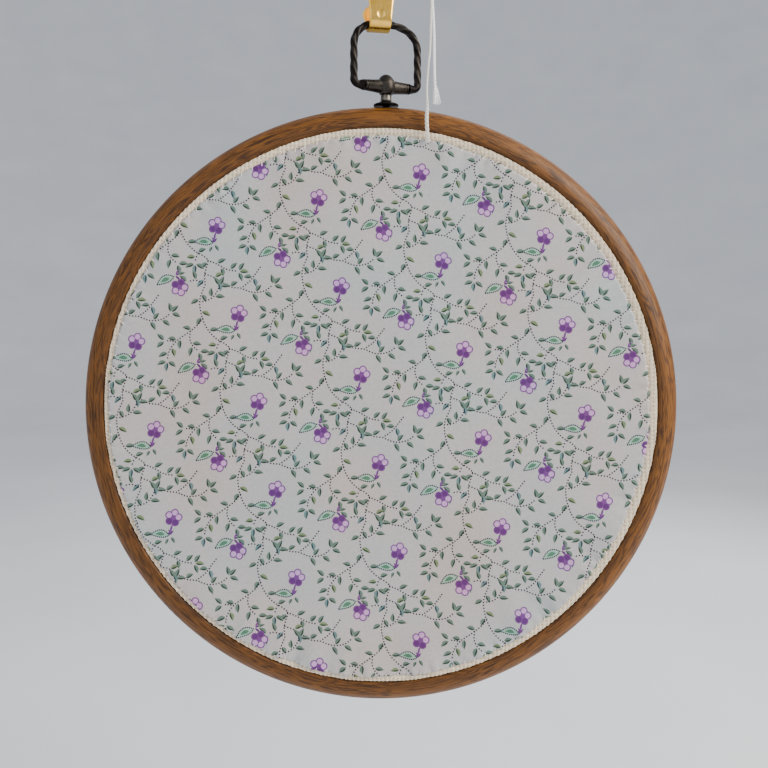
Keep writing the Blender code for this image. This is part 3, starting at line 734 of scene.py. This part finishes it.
# ------------------------------------------------------------------------------------- the print, as charted
# One repeat, in millimetres from its upright flower, x right and z up; it steps by the two sides of a
# slanted cell. Inks: the cloth itself, then the printed colours.
REPEAT_ACROSS = np.array([28.0, 7.2])
REPEAT_DOWN = np.array([5.5, -24.1])
FIRST_FLOWER = np.array([-5.7, 7.9])
INKS = {
    "cloth": "#B7B3B3", "sage": "#60766A", "sage_blue": "#64807F", "yellow_green": "#72835F",
    "sage_dark": "#26372E", "blue_dark": "#25363E", "teal": "#98B7A6", "rib": "#4C7860", "navy": "#181C3A",
    "plum": "#231B2E", "lilac": "#C49AC9", "purple": "#703E80", "deep_purple": "#5B2C6C",
}
INK_NAMES = list(INKS)

# Vines: the points of each dotted line, its leaves as (share along, side, turn from the vine), and the sprig
# that ends it.
VINES = (
    (((-9, 8), (-10.5, 4), (-10.2, 0), (-8.8, -3.7), (-6.5, -6.5), (-4, -8.1), (-2.6, -9.5), (-3.1, -11.5),
      (-3.6, -13.5), (-3.5, -16.1)),
     ((0.09, 1, 45), (0.14, -1, 50), (0.27, 1, 50), (0.31, -1, 45), (0.47, 1, 55), (0.62, 1, 50),
      (0.76, -1, 50), (0.93, -1, 45)), ""),
    (((-9.8, -1.2), (-11.5, -3.2), (-14.2, -5.2), (-17.3, -7.4), (-19.1, -10), (-19.6, -12.6)),
     ((0.28, -1, 50), (0.5, 1, 55), (0.56, -1, 50), (0.76, 1, 50), (0.84, -1, 45)), "trefoil"),
    (((-13.2, -4.6), (-13.4, -6.6), (-12.6, -8.6), (-10.9, -10.2)), ((0.45, 1, 55), (0.6, -1, 50)), "pair"),
    (((-5.2, -7.6), (-5.9, -8.8), (-6.1, -10.2)), ((0.4, -1, 60),), "trefoil"),
    (((-2.6, -9.5), (-0.2, -10.5), (2.5, -12), (5.6, -12.6)),
     ((0.3, 1, 50), (0.42, -1, 50), (0.72, 1, 55)), "trefoil"),
    (((11.6, -11.6), (10.4, -13.2), (8.6, -15.4), (6.2, -17.2)), ((0.35, -1, 50), (0.45, 1, 50)), ""),
    (((6.2, -17.2), (9.4, -18.4), (12.7, -18), (15, -16.4)),
     ((0.3, -1, 50), (0.42, 1, 50), (0.7, -1, 55)), "trefoil"),
    (((-3.4, -13.2), (-1.3, -14), (0.6, -15.2), (3.3, -16.8), (6.2, -17.2)),
     ((0.25, 1, 50), (0.36, -1, 50), (0.66, 1, 50)), ""),
    (((-9.7, 3.5), (-7.9, 4), (-6.4, 5.2), (-5, 7.6)), ((0.4, 1, 55), (0.5, -1, 50)), "trefoil"),
    (((-9, 8), (-10.6, 9), (-12.3, 9.3), (-13.8, 8.8)), ((0.5, -1, 55),), "trefoil"),
    (((-17.3, -7.4), (-18.8, -7.1), (-20.2, -7.1)), (), "pair"),
)


def ring_of(centre, radius, corners):
    """A round dot's outline."""
    return np.asarray(centre) + arc((0, 0), radius, radius, 0, 360, corners)[:-1]


def leaf_outline(base, heading_deg, length, width, steps=5):
    """A pointed leaf: half its width is width/2 sin(pi s^0.8), out along one side of its rib and back along
    the other. Returned with its lower edge, a crescent from tip to base."""
    share = np.linspace(0, 1, steps + 1)
    half = width / 2 * np.sin(np.pi * share**0.8)
    half[0] = half[-1] = 0
    bow = 0.07 * length * np.sin(np.pi * share)
    turn = math.radians(heading_deg)
    way, off = np.array([math.cos(turn), math.sin(turn)]), np.array([-math.sin(turn), math.cos(turn)])
    if off[1] < 0:
        off = -off
    along = base + share[:, None] * length * way
    top, low = along + off * (bow + half)[:, None], along + off * (bow - half)[:, None]
    whole = np.vstack((top, low[-2:0:-1]))
    low, high = (along + off * (bow - share_of * half)[:, None] for share_of in (0.88, 0.18))
    shade = np.vstack((low, high[-2:0:-1]))
    shade = shade + 0.06 * (shade.mean(0) - shade)
    return whole, shade


class Repeat:
    """One repeat of the print, as filled outlines in the order that they are laid down."""

    def __init__(self):
        self.outlines = []
        self.count = 0

    def fill(self, outline, ink):
        """Lays an outline down in an ink, its points put in anticlockwise order."""
        outline = np.asarray(outline, float)
        x, z = outline.T
        turned_back = (x * np.roll(z, -1) - z * np.roll(x, -1)).sum() < 0
        self.outlines.append((outline[::-1] if turned_back else outline, INK_NAMES.index(ink)))

    def leaf(self, base, heading_deg, length=2.6, width=1.25):
        """A small leaf with a darker lower edge; every eighth is bluish and every ninth yellower."""
        self.count += 1
        blue, yellow = self.count % 8 == 0, self.count % 9 == 3
        whole, shade = leaf_outline(np.asarray(base, float), heading_deg, length, width)
        self.fill(whole, "sage_blue" if blue else "yellow_green" if yellow else "sage")
        self.fill(shade, "blue_dark" if blue else "sage_dark")

    def sprig(self, tip, heading_deg, kind):
        """Leaves that end a vine: a pair leaves it on both sides, and a trefoil has one ahead as well."""
        turns = {"trefoil": (62, -62, 4), "pair": (38, -42)}.get(kind, ())
        for turn in turns:
            way = math.radians(heading_deg + turn)
            self.leaf(tip + 0.35 * np.array([math.cos(way), math.sin(way)]), heading_deg + turn)

    def vine(self, points, leaves, end):
        """Dots 0.82 mm apart along the vine, and its leaves, each set off to its side."""
        line = smooth_route(points, 0.82)
        way = np.degrees(np.arctan2(*np.gradient(line, axis=0).T[::-1]))
        for dot in line[:-1]:
            self.fill(ring_of(dot, 0.25, 6), "plum")
        for share, side, turn in leaves:
            k = round(share * (len(line) - 1))
            heading = way[k] + side * turn
            out = np.array([math.cos(math.radians(heading)), math.sin(math.radians(heading))])
            self.leaf(line[k] + 0.4 * out, heading, 2.35 + 0.4 * ((self.count * 7) % 5) / 4)
        if end:
            self.sprig(line[-1], way[-1], end)

    def flower(self, centre, stem_deg):
        """Five round petals with an outline, pale but for the two nearest the stem, and a round eye."""
        for k in range(5):
            turn = math.radians(stem_deg + 36 + 72 * k)
            at = centre + 1.42 * np.array([math.cos(turn), math.sin(turn)])
            self.fill(ring_of(at, 1.08, 14), "purple")
        for k in range(5):
            turn = math.radians(stem_deg + 36 + 72 * k)
            inner = centre + 1.40 * np.array([math.cos(turn), math.sin(turn)])
            self.fill(ring_of(inner, 0.76, 11), "deep_purple" if k in (0, 4) else "lilac")
        self.fill(ring_of(centre, 0.58, 9), "purple")

    def spike(self, base, heading_deg, length, width, ink):
        """A narrow pointed sepal or stem."""
        self.fill(leaf_outline(np.asarray(base, float), heading_deg, length, width)[0], ink)

    def ribbed_leaf(self, base, heading_deg, length, width):
        """A large pale leaf with a green middle and a beaded dark outline."""
        whole, _ = leaf_outline(base, heading_deg, length, width, 10)
        self.fill(whole, "teal")
        middle = whole.mean(0)
        self.fill(middle + 0.52 * (whole - middle), "rib")
        closed = np.vstack((whole, whole[:1]))
        for bead in evened(closed, 0.52)[:-1]:
            self.fill(ring_of(bead, 0.23, 6), "navy")


def charted_repeat():
    """The vines with their leaves, and over them the upright flower and the hanging one, each with its stem,
    sepals and ribbed leaf."""
    repeat = Repeat()
    for points, leaves, end in VINES:
        repeat.vine(points, leaves, end)
    upright = np.array([0.0, 0.0])
    for turn, length in ((118, 1.7), (85, 1.3), (55, 1.5), (150, 1.1)):
        repeat.spike((-0.7, -4.6), turn, length, 0.5, "deep_purple")
    repeat.spike((-0.75, -4.5), 76, 3.4, 0.62, "purple")
    repeat.ribbed_leaf(np.array([-1.2, -4.7]), 176, 5.0, 2.0)
    repeat.leaf((-0.6, -5.3), -60, 2.0, 0.9)
    repeat.leaf((-1.3, -5.7), -118, 1.8, 0.8)
    repeat.flower(upright, -105)
    hanging = np.array([17.5, -9.5])
    repeat.spike(hanging + (-0.9, 3.3), 20, 1.5, 0.5, "deep_purple")
    repeat.spike(hanging + (-0.9, 3.3), 62, 2.0, 0.55, "purple")
    repeat.spike(hanging + (-1.1, 3.2), -48, 2.1, 0.62, "deep_purple")
    repeat.ribbed_leaf(hanging + (-1.5, 3.0), 205, 5.2, 2.1)
    repeat.leaf(hanging + (-0.2, 3.6), 12, 1.9, 0.85)
    repeat.flower(hanging, 108)
    return repeat.outlines


def printed_disc():
    """The backing's printed face, cut into triangles that follow every outline of the print. Its points are
    the edge, the outlines of each repeat that falls on the cloth, and an even field between them, closer
    near the edge where it puckers. A face takes the last ink laid on it."""
    turn = np.linspace(0, 2 * np.pi, RIM_POINTS, endpoint=False)
    way = np.column_stack((np.cos(turn), np.sin(turn)))
    edge, _ = edge_and_height(*(way * BACKING_R + BACKING_OFF).T)
    rim = way * edge[:, None] + BACKING_OFF
    outlines, inks, chart = [], [], charted_repeat()
    counts = range(-4, 5)
    corners = [FIRST_FLOWER + a * REPEAT_ACROSS + d * REPEAT_DOWN for a in counts for d in counts]
    for outline, ink in chart:
        for corner in corners:
            if np.hypot(*(corner + outline.mean(0))) < BACKING_R + 4:
                moved = outline + corner
                moved = moved + 0.45 * np.sin(moved[:, ::-1] / (17.0, 23.0) + (0.6, 2.1))
                if np.hypot(*(moved.mean(0) - BACKING_OFF)) < BACKING_R + 1.5:
                    outlines.append(moved)
                    inks.append(ink)
    field = []
    for step, inner, outer in ((1.7, 0.0, 62.0), (0.85, 62.0, 72.6)):
        rows = np.arange(-76, 76, step * 0.87)
        across = np.arange(-76, 76, step)
        x = across[None] + step / 2 * (np.arange(len(rows)) % 2)[:, None]
        spots = np.stack((x, np.repeat(rows[:, None], len(across), 1)), -1).reshape(-1, 2)
        radius = np.hypot(*spots.T)
        field.append(spots[(radius >= inner) & (radius < outer)] + BACKING_OFF)
    for inward in (0.07, 0.2, 0.42, 0.7, 1.0):
        field.append(way[::2] * (edge[::2] - inward)[:, None] + BACKING_OFF)
    points = np.vstack([rim, *outlines, *field])
    starts = np.cumsum([len(rim)] + [len(outline) for outline in outlines])
    loops = [range(a, b) for a, b in zip(starts[:-1], starts[1:], strict=True)]
    rim_edges = [(k, (k + 1) % len(rim)) for k in range(len(rim))]
    points = [Vector(point) for point in points]
    flat, _, faces, _, _, owners = delaunay_2d_cdt(points, rim_edges, loops, 0, 1e-6, True)
    flat, faces = np.array([tuple(point) for point in flat]), np.array(faces)
    middles = flat[faces].mean(1)
    edge, _ = edge_and_height(*middles.T)
    kept = np.hypot(*(middles - BACKING_OFF).T) < edge - ON_THE_RIM
    inks = np.array([inks[max(owner)] if owner else 0 for owner in owners])
    return flat, faces[kept], inks[kept]


def backing_cloth():
    """The printed face raised to its height, closed behind by one flat face. The flat map keeps the print
    sharp: x and z across the square, and the unseen back in a corner of it."""
    flat, faces, inks = printed_disc()
    _, height = edge_and_height(flat[:, 0], flat[:, 1])
    y = BACKING_BACK_Y - BACKING_THICK - height
    points = np.column_stack((flat[:, 0], y, flat[:, 1]))
    mesh = bpy.data.meshes.new("printed_backing")
    mesh.from_pydata(placed(points), [], faces)
    colours = np.array([linear(INKS[name]) for name in INK_NAMES])[inks]
    ink = mesh.attributes.new("ink", "FLOAT_COLOR", "FACE")
    ink.data.foreach_set("color", colours.astype(np.float32).reshape(-1))
    bm = bmesh.new()
    bm.from_mesh(mesh)
    rim = [edge for edge in bm.edges if edge.is_boundary]
    back = bmesh.ops.edgeloop_fill(bm, edges=rim)["faces"]
    bm.loops.layers.uv.new("OFBake")
    layer = bm.faces.layers.float_color["ink"]
    for face in back:
        face[layer] = linear(INKS["cloth"])
        face.smooth = False
    bmesh.ops.recalc_face_normals(bm, faces=bm.faces)
    bm.to_mesh(mesh)
    bm.free()
    corners = np.empty(len(mesh.loops), int)
    mesh.loops.foreach_get("vertex_index", corners)
    where = np.empty(len(mesh.vertices) * 3)
    mesh.vertices.foreach_get("co", where)
    where = (where.reshape(-1, 3)[corners] - HOOP_CENTRE) / MM
    spots = np.column_stack((where[:, 0], where[:, 2])) / PRINT_MAP_SPAN + 0.5
    back = max(mesh.polygons, key=lambda polygon: polygon.loop_total)
    unseen = slice(back.loop_start, back.loop_start + back.loop_total)
    spots[unseen] = MAP_CORNER * (0.5 + spots[unseen])
    mesh.uv_layers["OFBake"].data.foreach_set("uv", spots.astype(np.float32).reshape(-1))
    mesh.shade_smooth()
    mesh.set_sharp_from_angle(angle=math.radians(60))
    cloth = shown("printed_backing", mesh, printed_cotton())
    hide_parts("backing_cloth")

    # Hem stitches: each rises over the rolled edge and dips into both cloths, slanting one way.
    angle = (np.arange(STITCHES) + 0.5 + RNG.uniform(-0.12, 0.12, STITCHES)) * 2 * np.pi / STITCHES
    share = np.linspace(0, 1, 9)
    inward = 0.95 - 1.55 * share + 0 * angle[:, None]
    slant = (share - 0.5) * (0.7 + RNG.uniform(-0.2, 0.2, (STITCHES, 1))) / BACKING_R
    way = np.stack((np.cos(angle[:, None] + slant), -np.sin(angle[:, None] + slant)), -1)
    edge, _ = edge_and_height(*(way * BACKING_R + BACKING_OFF).reshape(-1, 2).T)
    spots = way * (edge.reshape(way.shape[:2]) - inward)[..., None] + BACKING_OFF
    _, lift = edge_and_height(*spots.reshape(-1, 2).T)
    lift = lift.reshape(spots.shape[:2])
    rest = np.where(inward > 0, BACKING_BACK_Y - BACKING_THICK - lift, -4.95)
    y = rest - 0.10 * np.sin(np.pi * share) + 0.35 * (share == 0) + 0.45 * (share == 1)
    paths = np.stack((spots[..., 0], y, spots[..., 1]), -1)
    sewn = tubes(paths, np.full(paths.shape[:2], 0.13), 6)
    thread = sewing_thread("hem thread, spun cotton", "#EFE9DD", "#CFC5B4")
    stitches = piece("hem_stitches", sewn, thread)


# -------------------------------------------------------------------------------------------------- hanger


def hanger_base():
    """Shank, saddle flange with rounded rim, waisted stem and neck, turned about z. The wear vector is
    bright on the stem's bare pin."""
    profile = np.vstack((
        ((0, BASE_Z - 4.4), (1.0, BASE_Z - 4.4), (1.0, BASE_Z)),
        arc((3.3, BASE_Z + 0.3), 0.3, 0.3, -90, 90, 8),
        ((2.9, BASE_Z + 0.7), (2.3, BASE_Z + 0.95), (1.9, BASE_Z + 1.25), (1.62, BASE_Z + 1.6)),
        ((1.56, BASE_Z + 2.0), (1.56, KNOB_Z - 0.45), (1.46, KNOB_Z - 0.3), (0.95, KNOB_Z - 0.3)),
        ((0.95, KNOB_Z + 1.8), (0, KNOB_Z + 1.8), (0, BASE_Z - 4.4)),
    ))[:-1]
    points = turned(profile, 64, "z") + (HANGER_X, 0, 0)
    bare = ((points[..., 2] > BASE_Z + 1.4) & (points[..., 2] < KNOB_Z)) * 0.5
    look = bronzed_metal("bronzed steel pin, turned", "worn")
    base = piece("swivel_base", points, look, {"worn": bare}, 40)
    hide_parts("hanger_base")


def knob_barrel():
    """A pointed dome turned about z with a hollow foot, made one with two tapering arms turned about x, each
    with a groove near its end and a bore for the bail's pin."""
    dome_z, top_z, foot = 88.9, 91.85, KNOB_Z
    rise = np.linspace(0, 1, 15)
    dome_r = 2.68 * np.sqrt(1 - rise**1.9) * (1 - 0.12 * rise)
    dome = np.column_stack((dome_r, dome_z + (top_z - dome_z) * rise))
    profile = np.vstack((
        ((0, foot + 2.1), (1.25, foot + 2.1), (1.25, foot), (1.7, foot)),
        arc((1.7, foot + 0.22), 0.22, 0.22, -90, 0, 4)[1:],
        ((2.12, foot + 0.62), (2.45, foot + 1.0), (2.6, foot + 1.5), (2.62, foot + 2.2)),
        dome,
    ))
    dome_points = turned(profile, 64, "z")
    half = np.array([
        (0, 4.4), (0.9, 4.4), (0.9, 6.4), (1.45, 6.4), (1.55, 6.3), (1.56, 6.05), (1.42, 5.95), (1.42, 5.75),
        (1.6, 5.62), (1.68, 4.6), (1.78, 3.4), (1.9, 2.4), (1.95, 1.6),
    ])
    arms = np.vstack((half, half[::-1] * (1, -1)))
    arm_points = turned(arms, 48, "x") + (0, 0, BARREL_Z)
    for name, points, tip_wear in (("swivel_knob", dome_points, 0.12), ("knob_arms", arm_points, 0.0)):
        points = yawed(points, HANGER_YAW, (HANGER_X, 0))
        worn = 0.10 + tip_wear * (points[..., 2] > top_z - 0.9)
        look = bronzed_metal(f"bronzed zinc casting, {name}", "worn")
        obj = piece(name, points, look, {"worn": worn}, 40)
        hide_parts("knob_barrel")


def bail():
    """A rope of four strands bent to a flat D: the bar's radius at turn t is R (0.84 + 0.24 |cos 2(t - p)|),
    with p one full turn for each turn of the rope. Its ends are smooth collars, turned in, with a pin in
    each arm's bore."""
    collar, corner = BARREL_HALF + 0.3, BAIL_HALF - 1.5
    half = [(4.7, BARREL_Z, 0.6, 0), (collar, BARREL_Z, 0.6, 0), (collar + 0.01, BARREL_Z, 1.42, 0)]
    half += [(collar + 0.12, BARREL_Z, 1.55, 0), (7.4, BARREL_Z, 1.38, 0), (corner, BARREL_Z, 1.15, 0)]
    bend = arc((corner, BARREL_Z + 1.5), 1.5, 1.5, -90, 0, 8)[1:]
    half = np.vstack((half, np.column_stack((bend, np.full(8, 1.05), np.linspace(0, 0.7, 8)))))
    turn = np.linspace(0, np.pi, 61)
    x = BAIL_HALF * np.sign(np.cos(turn)) * np.abs(np.cos(turn)) ** (2 / 2.4)
    z = BAIL_SPRING_Z + BAIL_RISE * np.abs(np.sin(turn)) ** (2 / 2.4)
    arch = np.column_stack((x, z, np.full(61, WIRE_R), np.ones(61)))
    line = np.vstack((half, (BAIL_HALF, BARREL_Z + 3.0, 1.03, 1.0), arch,
                      (-BAIL_HALF, BARREL_Z + 3.0, 1.03, 1.0), half[::-1] * (-1, 1, 1, 1)))
    run = run_along(line[:, :2])
    marks = np.unique(np.concatenate((np.arange(0, run[-1], 0.22), run)))
    x, z, radius, rope = (np.interp(marks, run, line[:, k]) for k in range(4))
    path = np.column_stack((x, np.zeros(len(x)), z))
    sides = 40
    around = np.linspace(0, 2 * np.pi, sides + 1)
    phase = 2 * np.pi * marks / ROPE_TURN
    groove = np.abs(np.cos(2 * (around - phase[:, None])))
    radii = radius[:, None] * (1 + rope[:, None] * (0.24 * groove - 0.16))
    points = tubes(path[None], radii[None], sides)[0]
    worn = np.pad(0.5 * rope[:, None] * np.clip(groove - 0.8, 0, 1), ((1, 1), (0, 0)))
    points = yawed(points, HANGER_YAW, (HANGER_X, 0))
    look = bronzed_metal("bronzed twisted wire", "worn")
    obj = piece("rope_bail", points, look, {"worn": worn}, 60)
    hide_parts("bail")


def brass_hook():
    """A strip carried down the shank, round the bend and up the short leg. Across it, with u from -1 to 1,
    it is half its thickness (1 - |u|^16)^.5 each way, so its edges are eased; a round dimple is punched in
    the shank's front above the bend, and its colour is darkened under the bend as painted shade."""
    bend_z = HOOK_BOTTOM_Z + HOOK_THICK / 2 + HOOK_BEND_R
    end = 1 - np.cos(np.linspace(0, np.pi / 2, 13))
    top_half = HOOK_SHANK_HALF * np.sqrt(np.clip(1 - (1 - end) ** 2, 0.0004, 1))
    shank = np.column_stack((np.full(13, -HOOK_BEND_R), HOOK_TOP_Z - HOOK_SHANK_HALF * end, top_half))
    down = np.linspace(HOOK_TOP_Z - 3.9, bend_z + 0.2, 44)
    blend = np.clip((112.0 - down) / (112.0 - bend_z), 0, 1)
    wide = HOOK_SHANK_HALF + (HOOK_BEND_HALF - HOOK_SHANK_HALF) * blend
    down = np.column_stack((np.full(44, -HOOK_BEND_R), down, wide))
    bend = arc((0, bend_z), HOOK_BEND_R, HOOK_BEND_R, 180, 360, 30)
    bend = np.column_stack((bend, np.full(31, HOOK_BEND_HALF)))
    leg_z = HOOK_TIP_Z - HOOK_TIP_LONG
    up = np.linspace(bend_z + 0.3, leg_z - 0.2, 8)
    wide = HOOK_BEND_HALF + (HOOK_TIP_HALF - HOOK_BEND_HALF) * (up - bend_z) / (leg_z - bend_z)
    up = np.column_stack((np.full(8, HOOK_BEND_R), up, wide))
    tip = end[::-1]
    tip_half = HOOK_TIP_HALF * np.sqrt(np.clip(1 - (1 - tip) ** 2, 0.0004, 1))
    tip = np.column_stack((np.full(13, HOOK_BEND_R), leg_z + HOOK_TIP_LONG * (1 - tip), tip_half))
    line = np.vstack((shank, down, bend, up, tip))
    depth, height, half = line.T
    ahead = np.gradient(line[:, :2], axis=0)
    ahead /= np.linalg.norm(ahead, axis=1, keepdims=True)
    out = np.column_stack((ahead[:, 1], -ahead[:, 0]))
    u = np.sin(np.linspace(-np.pi / 2, np.pi / 2, 37))
    thick = HOOK_THICK / 2 * np.sqrt(1 - np.abs(u) ** 16)
    u = np.concatenate((u, u[-2::-1]))
    side = np.concatenate((thick, -thick[-2::-1]))
    side[0] = side[-1] = 0
    sharp = np.minimum(np.arange(len(line)), np.arange(len(line))[::-1]) / 3.0
    side = side * np.clip(sharp, 0, 1)[:, None]
    across = half[:, None] * u
    along = run_along(line[:, :2])[:, None] + 0 * across
    from_dimple = np.hypot(across, height[:, None] - HOOK_DIMPLE_Z)
    front = (depth[:, None] < -1) & (side > -1)
    pressed = 0.16 * np.exp(-((from_dimple / 1.0) ** 6)) * front
    y = depth[:, None] + side * out[:, :1] + pressed
    z = height[:, None] + side * out[:, 1:]
    points = np.stack((across, y, z), -1)
    centre = (HANGER_X + HOOK_ALONG_BAIL * math.cos(HANGER_YAW), HOOK_ALONG_BAIL * math.sin(HANGER_YAW))
    points = yawed(points, HOOK_YAW, centre)
    strip = np.stack((across, along, side), -1)
    # Painted shade along the underside of the bend, where the strip faces down.
    under = np.exp(-(((height[:, None] - HOOK_BOTTOM_Z - 0.4) / 0.9) ** 2)) + 0 * across
    vectors = {"strip": strip, "tarnish": 0.8 * under}
    obj = piece("brass_strip_hook", points, polished_brass(), vectors, 60)
    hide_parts("brass_hook")


camera()
threads()
studio()
floor()
outer_ring()
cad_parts["inner_ring"].data.materials.clear()
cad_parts["inner_ring"].data.materials.append(hoop_plastic())
ground_cloth()
backing_cloth()
hanger_base()
knob_barrel()
bail()
brass_hook()
